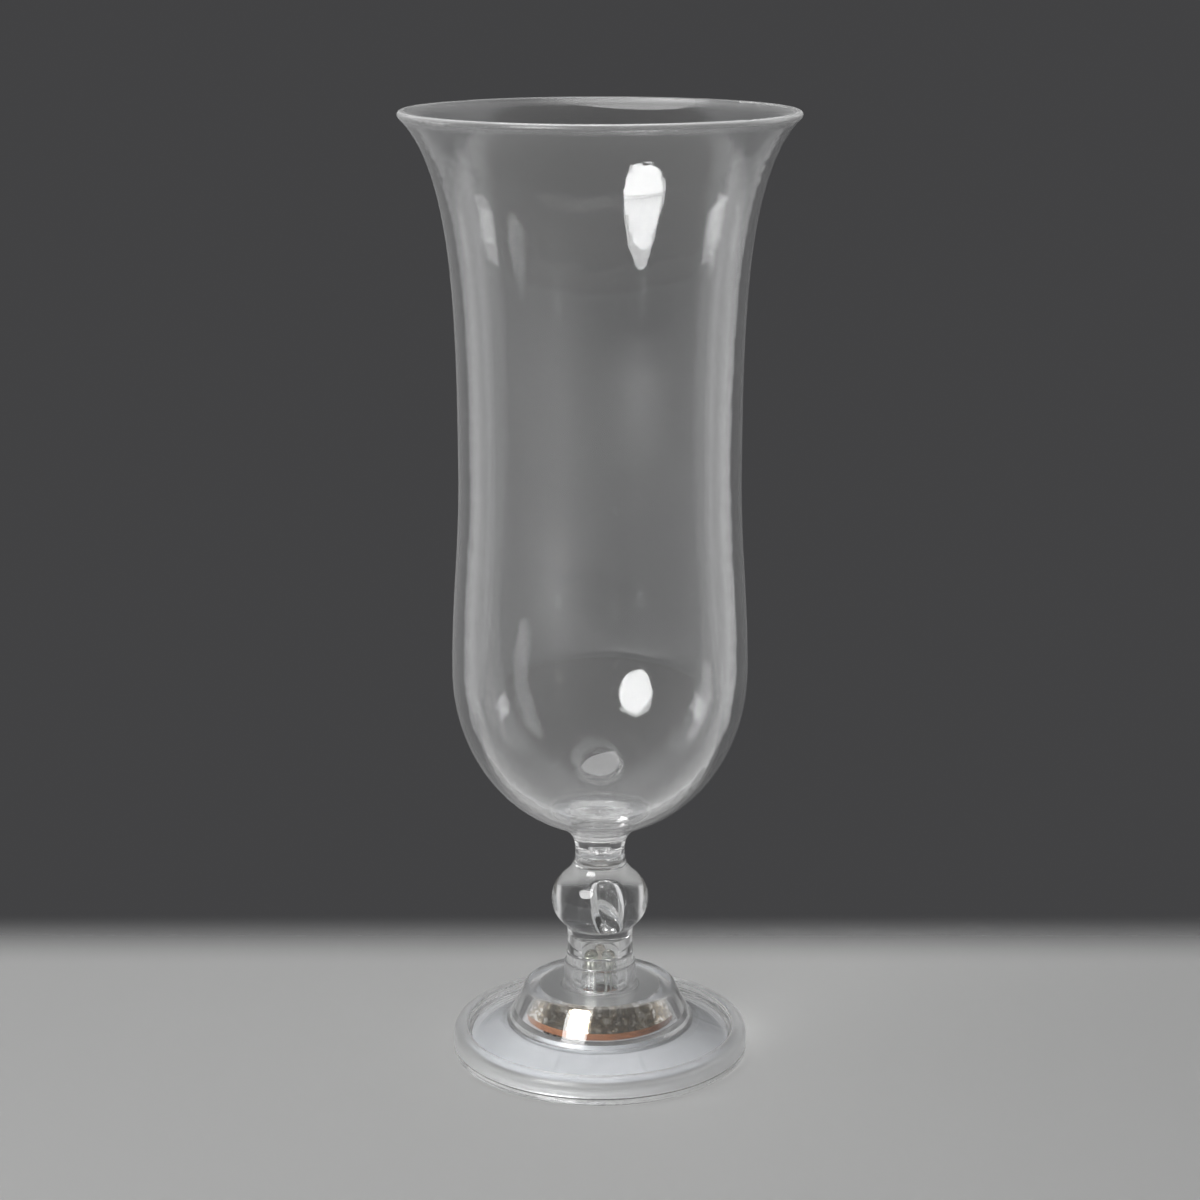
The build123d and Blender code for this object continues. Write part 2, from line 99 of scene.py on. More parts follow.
class NodeGraph:
    """Node tree with short calls for the steps that finishes and the backdrop share."""

    def __init__(self, tree: bpy.types.NodeTree) -> None:
        """Take hold of a node tree."""
        self.tree = tree

    def node(self, kind: str, **settings: object) -> bpy.types.Node:
        """Add a node.

        Args:
            kind: Blender's name for the kind of node.
            settings: Properties to set on it.

        Returns:
            The new node.
        """
        made = self.tree.nodes.new(kind)
        for key, value in settings.items():
            setattr(made, key, value)
        return made

    def feed(self, target: Socket, source: Socket) -> None:
        """Join one node's output to another's input."""
        self.tree.links.new(source, target)

    def span(self, value: Socket, low: float, high: float, out_low: float, out_high: float) -> Socket:
        """Carry a value from one range to another with soft ends.

        Args:
            value: The value to carry over.
            low: Start of its own range.
            high: End of its own range.
            out_low: Result at the start.
            out_high: Result at the end.

        Returns:
            The socket that gives the result.
        """
        node = self.node("ShaderNodeMapRange", interpolation_type="SMOOTHSTEP")
        numbers = {"From Min": low, "From Max": high, "To Min": out_low, "To Max": out_high}
        for key, number in numbers.items():
            node.inputs[key].default_value = number
        self.feed(node.inputs["Value"], value)
        return node.outputs["Result"]

    def ramp(self, value: Socket, *stops: tuple[float, Triple]) -> Socket:
        """Colour that follows a value.

        Args:
            value: The value from 0 to 1.
            stops: Pairs of a place on that range and the colour there.

        Returns:
            The socket that gives the colour.
        """
        node = self.node("ShaderNodeValToRGB")
        points = node.color_ramp.elements
        while len(points) < len(stops):
            points.new(1.0)
        for point, (position, colour) in zip(points, stops):
            point.position = position
            point.color = (*colour, 1.0)
        self.feed(node.inputs["Fac"], value)
        return node.outputs["Color"]

    def math(self, operation: str, first: Socket, second: Socket | float) -> Socket:
        """One sum of two values.

        Args:
            operation: Blender's name for the operation.
            first: The first value.
            second: The second value, which may be a plain number.

        Returns:
            The socket that gives the result.
        """
        node = self.node("ShaderNodeMath", operation=operation)
        self.feed(node.inputs[0], first)
        if isinstance(second, float):
            node.inputs[1].default_value = second
        else:
            self.feed(node.inputs[1], second)
        return node.outputs[0]

    def split(self, vector: Socket) -> tuple[Socket, Socket, Socket]:
        """Take a vector apart.

        Args:
            vector: The vector.

        Returns:
            The sockets that give its X, Y and Z.
        """
        node = self.node("ShaderNodeSeparateXYZ")
        self.feed(node.inputs[0], vector)
        return node.outputs["X"], node.outputs["Y"], node.outputs["Z"]

    def mixed(self, first: Triple | Socket, second: Triple | Socket, share: Socket) -> Socket:
        """Colour between two others.

        Args:
            first: The colour at a share of 0.
            second: The colour at a share of 1.
            share: How much of the second there is.

        Returns:
            The socket that gives the colour.
        """
        node = self.node("ShaderNodeMix", data_type="RGBA")
        self.feed(node.inputs["Factor"], share)
        for name, colour in (("A", first), ("B", second)):
            target = next(socket for socket in node.inputs if socket.name == name and socket.type == "RGBA")
            if isinstance(colour, tuple):
                target.default_value = (*colour, 1.0)
            else:
                self.feed(target, colour)
        return next(socket for socket in node.outputs if socket.type == "RGBA")

    def seen_rays(self) -> Socket:
        """Tell the rays that show a surface from those that only carry light.

        Returns:
            The socket that gives 1 for rays to the camera, in a mirror or through glass, and 0 for the rest.
        """
        rays = self.node("ShaderNodeLightPath")
        shown = self.math("MAXIMUM", rays.outputs["Is Camera Ray"], rays.outputs["Is Glossy Ray"])
        return self.math("MAXIMUM", shown, rays.outputs["Is Transmission Ray"])


class SurfaceGraph(NodeGraph):
    """Node tree of one material, with the patterns that the finishes share."""

    def __init__(self, name: str) -> None:
        """Start a material that has one shader and reads Object coordinates.

        Args:
            name: Name of the material.
        """
        self.material = bpy.data.materials.new(name)
        self.material.use_nodes = True
        super().__init__(self.material.node_tree)
        self.shader = self.tree.nodes["Principled BSDF"]
        self.place = self.node("ShaderNodeTexCoord").outputs["Object"]

    def plain(self, **values: float | tuple[float, ...]) -> None:
        """Set shader sockets that are the same all over; underscores in a name stand for spaces."""
        for key, value in values.items():
            self.shader.inputs[key.replace("_", " ")].default_value = value

    def coat(self, colour: Socket, roughness: Socket, normal: Socket) -> Material:
        """Feed the shader the three things that every finish varies.

        Args:
            colour: Base colour.
            roughness: Roughness from 0 to 1.
            normal: Surface normal.

        Returns:
            The finished material.
        """
        for name, source in (("Base Color", colour), ("Roughness", roughness), ("Normal", normal)):
            self.feed(self.shader.inputs[name], source)
        return self.material

    def centred(self, point: Triple, stretch: Triple = (1.0, 1.0, 1.0)) -> Socket:
        """Object coordinates measured from a point, scaled along each axis.

        Args:
            point: The point that becomes the pattern's origin, in metres.
            stretch: Scale of the coordinates along X, Y and Z.

        Returns:
            The socket that gives the new coordinates.
        """
        mapping = self.node("ShaderNodeMapping")
        mapping.inputs["Location"].default_value = [-p * s for p, s in zip(point, stretch)]
        mapping.inputs["Scale"].default_value = stretch
        self.feed(mapping.inputs["Vector"], self.place)
        return mapping.outputs["Vector"]

    def noise(self, size: float, detail: float = 3.0, place: Socket | None = None) -> Socket:
        """Cloudy pattern from 0 to 1.

        Args:
            size: Width of its features in metres.
            detail: How many finer layers it has.
            place: Coordinates to use in place of plain Object coordinates.

        Returns:
            The socket that gives the pattern.
        """
        texture = self.node("ShaderNodeTexNoise")
        texture.inputs["Scale"].default_value = 1.0 / size
        texture.inputs["Detail"].default_value = detail
        self.feed(texture.inputs["Vector"], place or self.place)
        return texture.outputs["Fac"]

    def specks(self, size: float) -> Socket:
        """Distance to the nearest of many scattered points, which makes round specks.

        Args:
            size: Distance between neighbouring points in metres.

        Returns:
            The socket that gives the distance, as a share of the size.
        """
        texture = self.node("ShaderNodeTexVoronoi")
        texture.inputs["Scale"].default_value = 1.0 / size
        self.feed(texture.inputs["Vector"], self.place)
        return texture.outputs["Distance"]

    def shade(self, pattern: Socket, low: Triple, high: Triple, ends: Pair = CLOUD_ENDS) -> Socket:
        """Colour that goes from one to another as a pattern rises between two values."""
        return self.ramp(pattern, (ends[0], low), (ends[1], high))

    def fade(self, pattern: Socket, low: float, high: float, ends: Pair = CLOUD_ENDS) -> Socket:
        """Value that goes from one to another as a pattern rises between two values."""
        return self.span(pattern, ends[0], ends[1], low, high)

    def height(self) -> Socket:
        """Height above the table in metres."""
        return self.split(self.place)[2]

    def reach(self) -> Socket:
        """Measure how far out from the axis of the glass a point is.

        Returns:
            The socket that gives the distance in metres.
        """
        node = self.node("ShaderNodeVectorMath", operation="LENGTH")
        self.feed(node.inputs[0], self.centred(ORIGIN, FLAT))
        return node.outputs["Value"]

    def relief(self, pattern: Socket, depth: float, under: Socket | None = None) -> Socket:
        """Surface normal of a fine relief.

        Args:
            pattern: Height pattern from 0 to 1.
            depth: Its full height in metres.
            under: Normal of a coarser relief that this one lies on.

        Returns:
            The socket that gives the normal.
        """
        bump = self.node("ShaderNodeBump")
        bump.inputs["Strength"].default_value = 1.0
        bump.inputs["Distance"].default_value = depth
        self.feed(bump.inputs["Height"], pattern)
        if under is not None:
            self.feed(bump.inputs["Normal"], under)
        return bump.outputs["Normal"]


@dataclass(frozen=True)
class Finish:
    """A finish, which all its pieces share; no finish has the name of a packed material."""

    name: str

    def material(self) -> Material:
        """The finish's material, built on first use."""
        return bpy.data.materials.get(self.name) or self.lay_out(SurfaceGraph(self.name))

    def lay_out(self, graph: SurfaceGraph) -> Material:
        """Fill the material's node tree; each kind of finish has its own way."""
        raise NotImplementedError


@dataclass(frozen=True)
class SatinBand:
    """Where a clear moulding turns satin, how rough it is there and where it clears again, if it does."""

    way: EdgeWay
    start: float
    full: float
    roughness: float
    fade: float = 1.0
    clear: float = 2.0


@dataclass(frozen=True)
class ClearMoulding(Finish):
    """Clear moulded plastic: slow flow waves, fine pits, a few hazy smudges and thin dust."""

    bands: tuple[SatinBand, ...] = ()
    clarity: float = 0.998
    bend: float = 1.58
    tint: Triple = (0.985, 0.99, 0.988)
    clearest: Triple = (0.995, 0.997, 1.0)
    tint_cloud: float = 25.0 * MM
    wave: float = 14.0 * MM
    wave_depth: float = 0.022 * MM
    wave_squeeze: Triple = (1.0, 1.0, 0.45)
    pit: float = 1.1 * MM
    pit_depth: float = 0.0008 * MM
    polish: float = 0.012
    smudge: float = 0.06
    smudge_cloud: float = 18.0 * MM
    smudge_ends: Pair = (0.62, 0.78)
    dust: float = 0.0

    def lay_out(self, graph: SurfaceGraph) -> Material:
        """Fill the material's node tree.

        Args:
            graph: The tree to fill.

        Returns:
            The finished material.
        """
        graph.plain(Transmission_Weight=self.clarity, IOR=self.bend, Sheen_Weight=self.dust)
        colour = graph.shade(graph.noise(self.tint_cloud, detail=2.0), self.tint, self.clearest)
        smears = graph.noise(self.smudge_cloud, detail=4.0)
        haze = graph.fade(smears, self.polish, self.smudge, self.smudge_ends)
        for band in self.bands:
            measure = graph.height() if band.way is EdgeWay.HEIGHT else graph.reach()
            rise = graph.span(measure, band.start, band.full, 0.0, band.roughness)
            fall = graph.span(measure, band.fade, band.clear, 1.0, 0.0)
            haze = graph.math("MAXIMUM", haze, graph.math("MULTIPLY", rise, fall))
        flow = graph.noise(self.wave, detail=1.0, place=graph.centred(ORIGIN, self.wave_squeeze))
        waves = graph.relief(flow, self.wave_depth)
        pits = graph.relief(graph.noise(self.pit, detail=2.0), self.pit_depth, waves)
        return graph.coat(colour, haze, pits)


@dataclass(frozen=True)
class FrostedFilm(Finish):
    """Frosted white film with a cool cast and a fine tooth."""

    cool: Triple = (0.355, 0.367, 0.39)
    pale: Triple = (0.445, 0.457, 0.48)
    cloud: float = 9.0 * MM
    gloss_cloud: float = 2.0 * MM
    smooth: float = 0.42
    rough: float = 0.6
    tooth: float = 0.25 * MM
    tooth_depth: float = 0.02 * MM

    def lay_out(self, graph: SurfaceGraph) -> Material:
        """Fill the material's node tree.

        Args:
            graph: The tree to fill.

        Returns:
            The finished material.
        """
        colour = graph.shade(graph.noise(self.cloud), self.cool, self.pale)
        roughness = graph.fade(graph.noise(self.gloss_cloud), self.smooth, self.rough)
        tooth = graph.relief(graph.noise(self.tooth, detail=1.0), self.tooth_depth)
        return graph.coat(colour, roughness, tooth)


@dataclass(frozen=True)
class SilveredSkin(Finish):
    """Vacuum-silvered plastic: a satin top in a darker grey, which is painted shade that holds down the
    overhead lamp's reflection, and bright sides mottled with golden and dark painted reflection of the room
    in front, and pinholes.
    """

    satin_from: float
    satin_to: float
    bright: Triple = (0.9, 0.88, 0.84)
    # Painted reflection: the golden and dark tones below stand in for the dark room in front of the cup,
    # mottled over the bright metal.
    golden_reflection_paint: Triple = (0.52, 0.43, 0.31)
    dark_reflection_paint: Triple = (0.2, 0.165, 0.125)
    # Painted shade: the top's colour is this darker grey, which holds down the overhead lamp's reflection in
    # the satin top.
    top: Triple = (0.42, 0.425, 0.425)
    side_polish: float = 0.1
    top_satin: float = 0.5
    reflection_patch: float = 1.6 * MM
    reflection_patch_stops: tuple[float, ...] = (0.38, 0.47, 0.56, 0.66)
    pinhole: float = 1.4 * MM
    pinhole_satin: float = 0.2
    pinhole_ends: Pair = (0.08, 0.16)
    ripple: float = 2.0 * MM
    ripple_depth: float = 0.03 * MM

    def lay_out(self, graph: SurfaceGraph) -> Material:
        """Fill the material's node tree.

        Args:
            graph: The tree to fill.

        Returns:
            The finished material.
        """
        graph.plain(Metallic=1.0)
        edge = (self.satin_from, self.satin_to)
        # Painted shade: above the satin edge the colour turns to the darker top grey.
        side = graph.fade(graph.height(), 1.0, 0.0, edge)
        # Painted reflection: golden and dark patches on the bright metal copy the mottled reflection of the
        # dark room in front.
        reflection_patches = zip(self.reflection_patch_stops, (self.bright, self.golden_reflection_paint, self.dark_reflection_paint, self.bright))
        skin_and_painted_reflection = graph.ramp(graph.noise(self.reflection_patch, detail=5.0), *reflection_patches)
        satin = graph.fade(graph.height(), self.side_polish, self.top_satin, edge)
        pinholes = graph.fade(graph.specks(self.pinhole), self.pinhole_satin, 0.0, self.pinhole_ends)
        waves = graph.relief(graph.noise(self.ripple, detail=2.0), self.ripple_depth)
        return graph.coat(graph.mixed(self.top, skin_and_painted_reflection, side), graph.math("ADD", satin, pinholes), waves)


@dataclass(frozen=True)
class PhenolicBoard(Finish):
    """Brown paper-and-resin board with fibres in its faces and edge."""

    dark: Triple = (0.12, 0.04, 0.013)
    light: Triple = (0.28, 0.105, 0.034)
    shade_ends: Pair = (0.3, 0.72)
    fibre: float = 0.9 * MM
    fibre_squeeze: Triple = (0.25, 1.0, 2.5)
    fibre_depth: float = 0.02 * MM
    smooth: float = 0.38
    rough: float = 0.6

    def lay_out(self, graph: SurfaceGraph) -> Material:
        """Fill the material's node tree.

        Args:
            graph: The tree to fill.

        Returns:
            The finished material.
        """
        fibre = graph.noise(self.fibre, detail=4.0, place=graph.centred(ORIGIN, self.fibre_squeeze))
        colour = graph.shade(fibre, self.dark, self.light, self.shade_ends)
        roughness = graph.fade(fibre, self.smooth, self.rough)
        return graph.coat(colour, roughness, graph.relief(fibre, self.fibre_depth))


@dataclass(frozen=True)
class LensEpoxy(Finish):
    """Cast lens of a small light, clear with a faint tint and a few flow lines."""

    tint: Triple
    bend: float = 1.53
    white_share: float = 0.5
    shade_ends: Pair = (0.35, 0.75)
    gloss_ends: Pair = (0.3, 0.8)
    smooth: float = 0.03
    rough: float = 0.12
    flow: float = 1.5 * MM
    flow_depth: float = 0.01 * MM

    def lay_out(self, graph: SurfaceGraph) -> Material:
        """Fill the material's node tree.

        Args:
            graph: The tree to fill.

        Returns:
            The finished material.
        """
        graph.plain(Transmission_Weight=1.0, IOR=self.bend)
        flow = graph.noise(self.flow, detail=2.0)
        paler = tuple(self.white_share + (1.0 - self.white_share) * channel for channel in self.tint)
        colour = graph.shade(flow, self.tint, paler, self.shade_ends)
        roughness = graph.fade(flow, self.smooth, self.rough, self.gloss_ends)
        return graph.coat(colour, roughness, graph.relief(flow, self.flow_depth))


@dataclass(frozen=True)
class WorkedMetal(Finish):
    """Drawn, rolled or plated metal: streaks along one axis, tarnish and small dents."""

    bright: Triple
    tarnish: Triple
    smooth: float
    rough: float
    streak: Triple = (1.0, 1.0, 1.0)
    grain: float = 0.4 * MM
    grain_depth: float = 0.004 * MM
    cloud: float = 2.5 * MM
    shade_ends: Pair = (0.4, 0.75)

    def lay_out(self, graph: SurfaceGraph) -> Material:
        """Fill the material's node tree.

        Args:
            graph: The tree to fill.

        Returns:
            The finished material.
        """
        graph.plain(Metallic=1.0)
        cloud = graph.noise(self.cloud, detail=4.0)
        colour = graph.shade(cloud, self.bright, self.tarnish, self.shade_ends)
        streaks = graph.noise(self.grain, place=graph.centred(ORIGIN, self.streak))
        roughness = graph.fade(streaks, self.smooth, self.rough)
        return graph.coat(colour, roughness, graph.relief(streaks, self.grain_depth))


@dataclass(frozen=True)
class TurnedCan(Finish):
    """Nickel-plated can of a button cell, with faint turning rings about its own axis."""

    middle: Triple
    bright: Triple = (0.74, 0.73, 0.7)
    tarnish: Triple = (0.55, 0.54, 0.52)
    cloud: float = 3.0 * MM
    shade_ends: Pair = (0.4, 0.7)
    ring_pitch: float = 4.0 * MM
    ring_waver: float = 1.5
    ring_depth: float = 0.004 * MM
    ring_ends: Pair = (0.0, 1.0)
    smooth: float = 0.2
    rough: float = 0.34

    def lay_out(self, graph: SurfaceGraph) -> Material:
        """Fill the material's node tree.

        Args:
            graph: The tree to fill.

        Returns:
            The finished material.
        """
        graph.plain(Metallic=1.0)
        cloud = graph.noise(self.cloud, detail=4.0)
        colour = graph.shade(cloud, self.bright, self.tarnish, self.shade_ends)
        wave = graph.node("ShaderNodeTexWave", wave_type="RINGS", rings_direction="Z")
        wave.inputs["Scale"].default_value = 1.0 / self.ring_pitch
        wave.inputs["Distortion"].default_value = self.ring_waver
        graph.feed(wave.inputs["Vector"], graph.centred(self.middle))
        rings = wave.outputs["Fac"]
        roughness = graph.fade(rings, self.smooth, self.rough, self.ring_ends)
        return graph.coat(colour, roughness, graph.relief(rings, self.ring_depth))


@dataclass(frozen=True)
class Moulded(Finish):
    """Opaque moulding with a spark-eroded texture and slight shading from flow."""

    dark: Triple
    light: Triple
    smooth: float = 0.38
    rough: float = 0.55
    cloud: float = 5.0 * MM
    texture: float = 0.22 * MM
    texture_depth: float = 0.012 * MM

    def lay_out(self, graph: SurfaceGraph) -> Material:
        """Fill the material's node tree.

        Args:
            graph: The tree to fill.

        Returns:
            The finished material.
        """
        cloud = graph.noise(self.cloud)
        colour = graph.shade(cloud, self.dark, self.light)
        roughness = graph.fade(cloud, self.smooth, self.rough)
        texture = graph.relief(graph.noise(self.texture, detail=2.0), self.texture_depth)
        return graph.coat(colour, roughness, texture)


BRIGHT_WIRE = WorkedMetal(
    "bright_wire", (0.72, 0.72, 0.7), (0.5, 0.5, 0.48), smooth=0.24, rough=0.42, streak=(1.0, 1.0, 0.1))


def dress(node: str, finish: Finish) -> None:
    """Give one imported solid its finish.

    Args:
        node: Name of the solid's node.
        finish: Its finish.
    """
    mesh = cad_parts[node].data
    mesh.materials.clear()
    mesh.materials.append(finish.material())
    LOG.info("solid %s: %s", node, finish.name)


def middle_of(node: str) -> Vector:
    """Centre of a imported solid's box."""
    low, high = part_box(node)
    return (low + high) / 2


@dataclass(frozen=True)
class Spot:
    """Where one copy of a repeated detail goes: a point in metres and a turn about Z in radians."""

    point: Triple
    turn: float = 0.0


class RepeatGraph:
    """Geometry Nodes tree that sets one shape on every spot and ends in a plain mesh."""

    post_sides: int = 20
    ring_steps: int = 72
    turn_steps: int = 24
    wire_sides: int = 10

    def __init__(self, name: str) -> None:
        """Start a tree with a geometry input and a geometry output.

        Args:
            name: Name of the tree and of the piece that it makes.
        """
        self.name = name
        self.tree = bpy.data.node_groups.new(name, "GeometryNodeTree")
        for way in ("INPUT", "OUTPUT"):
            self.tree.interface.new_socket(name="Geometry", in_out=way, socket_type="NodeSocketGeometry")
        self.entry = self.tree.nodes.new("NodeGroupInput")
        self.exit = self.tree.nodes.new("NodeGroupOutput")
        self.sizes: dict[str, float] = {}

    def size(self, name: str, value: float) -> Socket:
        """Add a named size input.

        Args:
            name: Name of the input.
            value: The value that this detail uses, in metres unless it is a count.

        Returns:
            The socket that gives the size.
        """
        item = self.tree.interface.new_socket(name=name, in_out="INPUT", socket_type="NodeSocketFloat")
        self.sizes[item.identifier] = value
        return self.entry.outputs[name]

    def node(self, kind: str, **sources: object) -> bpy.types.Node:
        """Add a node.

        Args:
            kind: Blender's name for the kind of node.
            sources: For each input's name, with underscores for spaces, a socket or a value.

        Returns:
            The new node.
        """
        made = self.tree.nodes.new(kind)
        for key, source in sources.items():
            target = made.inputs[key.replace("_", " ")]
            if isinstance(source, bpy.types.NodeSocket):
                self.tree.links.new(source, target)
            else:
                target.default_value = source
        return made

    def post(self, bottom: Socket, top: Socket, height: Socket) -> Socket:
        """Round post with its foot at the origin, which may taper.

        Args:
            bottom: Radius at the foot.
            top: Radius at the top.
            height: Height of the post.

        Returns:
            The socket that gives the post.
        """
        cone = self.node(
            "GeometryNodeMeshCone", Vertices=self.post_sides, Radius_Bottom=bottom, Radius_Top=top,
            Depth=height)
        return cone.outputs["Mesh"]

    def ring(self, radius: Socket, thickness: Socket) -> Socket:
        """Round wire ring about the origin."""
        path = self.node("GeometryNodeCurvePrimitiveCircle", Resolution=self.ring_steps, Radius=radius)
        return self.swept(path.outputs["Curve"], thickness)

    def coil(self, radius: Socket, turns: Socket, length: Socket, thickness: Socket) -> Socket:
        """Round wire wound up the Z axis from the origin.

        Args:
            radius: Radius of the coil.
            turns: How many turns it has.
            length: Its length along the axis.
            thickness: Radius of the wire.

        Returns:
            The socket that gives the coil.
        """
        path = self.node(
            "GeometryNodeCurveSpiral", Resolution=self.turn_steps, Rotations=turns, Start_Radius=radius,
            End_Radius=radius, Height=length)
        return self.swept(path.outputs["Curve"], thickness)

    def swept(self, path: Socket, thickness: Socket) -> Socket:
        """Round wire along a path, with closed ends.

        Args:
            path: The curve that the wire follows.
            thickness: Radius of the wire.

        Returns:
            The socket that gives the wire.
        """
        profile = self.node("GeometryNodeCurvePrimitiveCircle", Resolution=self.wire_sides, Radius=thickness)
        wire = self.node(
            "GeometryNodeCurveToMesh", Curve=path, Profile_Curve=profile.outputs["Curve"], Fill_Caps=True)
        return wire.outputs["Mesh"]

    def moved(self, shape: Socket, x: Socket | float = 0.0, z: Socket | float = 0.0) -> Socket:
        """Shift a shape.

        Args:
            shape: The shape.
            x: How far along X.
            z: How far along Z.

        Returns:
            The socket that gives the shifted shape.
        """
        shift = self.node("ShaderNodeCombineXYZ", X=x, Z=z)
        shifted = self.node("GeometryNodeTransform", Geometry=shape, Translation=shift.outputs[0])
        return shifted.outputs["Geometry"]

    def joined(self, *shapes: Socket) -> Socket:
        """Put several shapes together.

        Args:
            shapes: The shapes.

        Returns:
            The socket that gives them as one.
        """
        join = self.tree.nodes.new("GeometryNodeJoinGeometry")
        for shape in shapes:
            self.tree.links.new(shape, join.inputs["Geometry"])
        return join.outputs["Geometry"]

    def negative(self, value: Socket) -> Socket:
        """Turn a value's sign.

        Args:
            value: The value.

        Returns:
            The socket that gives the result.
        """
        node = self.node("ShaderNodeMath")
        node.operation = "MULTIPLY"
        node.inputs[1].default_value = -1.0
        self.tree.links.new(value, node.inputs[0])
        return node.outputs[0]

    def piece(self, shape: Socket, spots: list[Spot], finish: Finish, body: Body) -> None:
        """Set the shape on every spot and make the result a piece of the part.

        Args:
            shape: The socket that gives the shape.
            spots: Where the copies go.
            finish: Their finish.
            body: The body that they ride on.
        """
        turn = self.node("GeometryNodeInputNamedAttribute", Name="turn")
        about_z = self.node("ShaderNodeCombineXYZ", Z=turn.outputs["Attribute"])
        copies = self.node(
            "GeometryNodeInstanceOnPoints", Points=self.entry.outputs["Geometry"], Instance=shape,
            Rotation=about_z.outputs[0])
        real = self.node("GeometryNodeRealizeInstances", Geometry=copies.outputs["Instances"])
        smooth = self.node("GeometryNodeSetShadeSmooth", Geometry=real.outputs["Geometry"])
        done = self.node(
            "GeometryNodeSetMaterial", Geometry=smooth.outputs["Geometry"], Material=finish.material())
        self.tree.links.new(done.outputs["Geometry"], self.exit.inputs["Geometry"])

        base = bpy.data.meshes.new(self.name + "_spots")
        base.from_pydata([spot.point for spot in spots], [], [])
        turns = base.attributes.new("turn", "FLOAT", "POINT")
        turns.data.foreach_set("value", [spot.turn for spot in spots])
        made = bpy.data.objects.new(self.name, base)
        bpy.context.scene.collection.objects.link(made)
        modifier = made.modifiers.new("repeat", "NODES")
        modifier.node_group = self.tree
        for identifier, value in self.sizes.items():
            modifier[identifier] = value
        graph = bpy.context.evaluated_depsgraph_get()
        mesh = bpy.data.meshes.new_from_object(made.evaluated_get(graph), depsgraph=graph)
        made.modifiers.remove(modifier)
        made.data = mesh
        mesh.name = self.name
        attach(made, body.value)
        LOG.info("detail %s: %d copies on %s", self.name, len(spots), body.value)


class Assembly:
    """A sub-assembly of the glass, which adds its details and finishes its solids."""

    def build(self) -> None:
        """Make the details that the solids leave out, where there are any."""

    def dress(self) -> None:
        """Finish every solid of the sub-assembly."""
        raise NotImplementedError


@dataclass(frozen=True)
class GlassBody(Assembly):
    """The clear mouldings: bowl, ball stem, domed foot and bottom cover."""

    bowl: ClearMoulding = ClearMoulding(
        "clear_bowl", (SatinBand(EdgeWay.HEIGHT, 217.6 * MM, 218.6 * MM, 0.26),), dust=0.3)
    stem: ClearMoulding = ClearMoulding(
        "clear_stem", clarity=0.99, wave=9.0 * MM, wave_depth=0.008 * MM, dust=0.06)
    foot: ClearMoulding = ClearMoulding(
        "clear_foot",
        (SatinBand(EdgeWay.REACH, 30.8 * MM, 31.6 * MM, 0.3),
         SatinBand(EdgeWay.REACH, 20.8 * MM, 21.4 * MM, 0.25, 23.0 * MM, 23.6 * MM),
         SatinBand(EdgeWay.HEIGHT, 14.4 * MM, 15.0 * MM, 0.2, 16.2 * MM, 16.8 * MM)),
        clarity=0.98, wave=11.0 * MM, wave_depth=0.012 * MM, dust=0.2)
    cover: ClearMoulding = ClearMoulding(
        "clear_cover", clarity=0.96, wave=11.0 * MM, wave_depth=0.012 * MM, polish=0.03, dust=0.22)

    def dress(self) -> None:
        """Give each moulding its clear finish and let lamps shine through it."""
        finishes = {"bowl": self.bowl, "stem": self.stem, "foot": self.foot, "bottom_cover": self.cover}
        for node, finish in finishes.items():
            dress(node, finish)
            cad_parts[node].visible_shadow = False


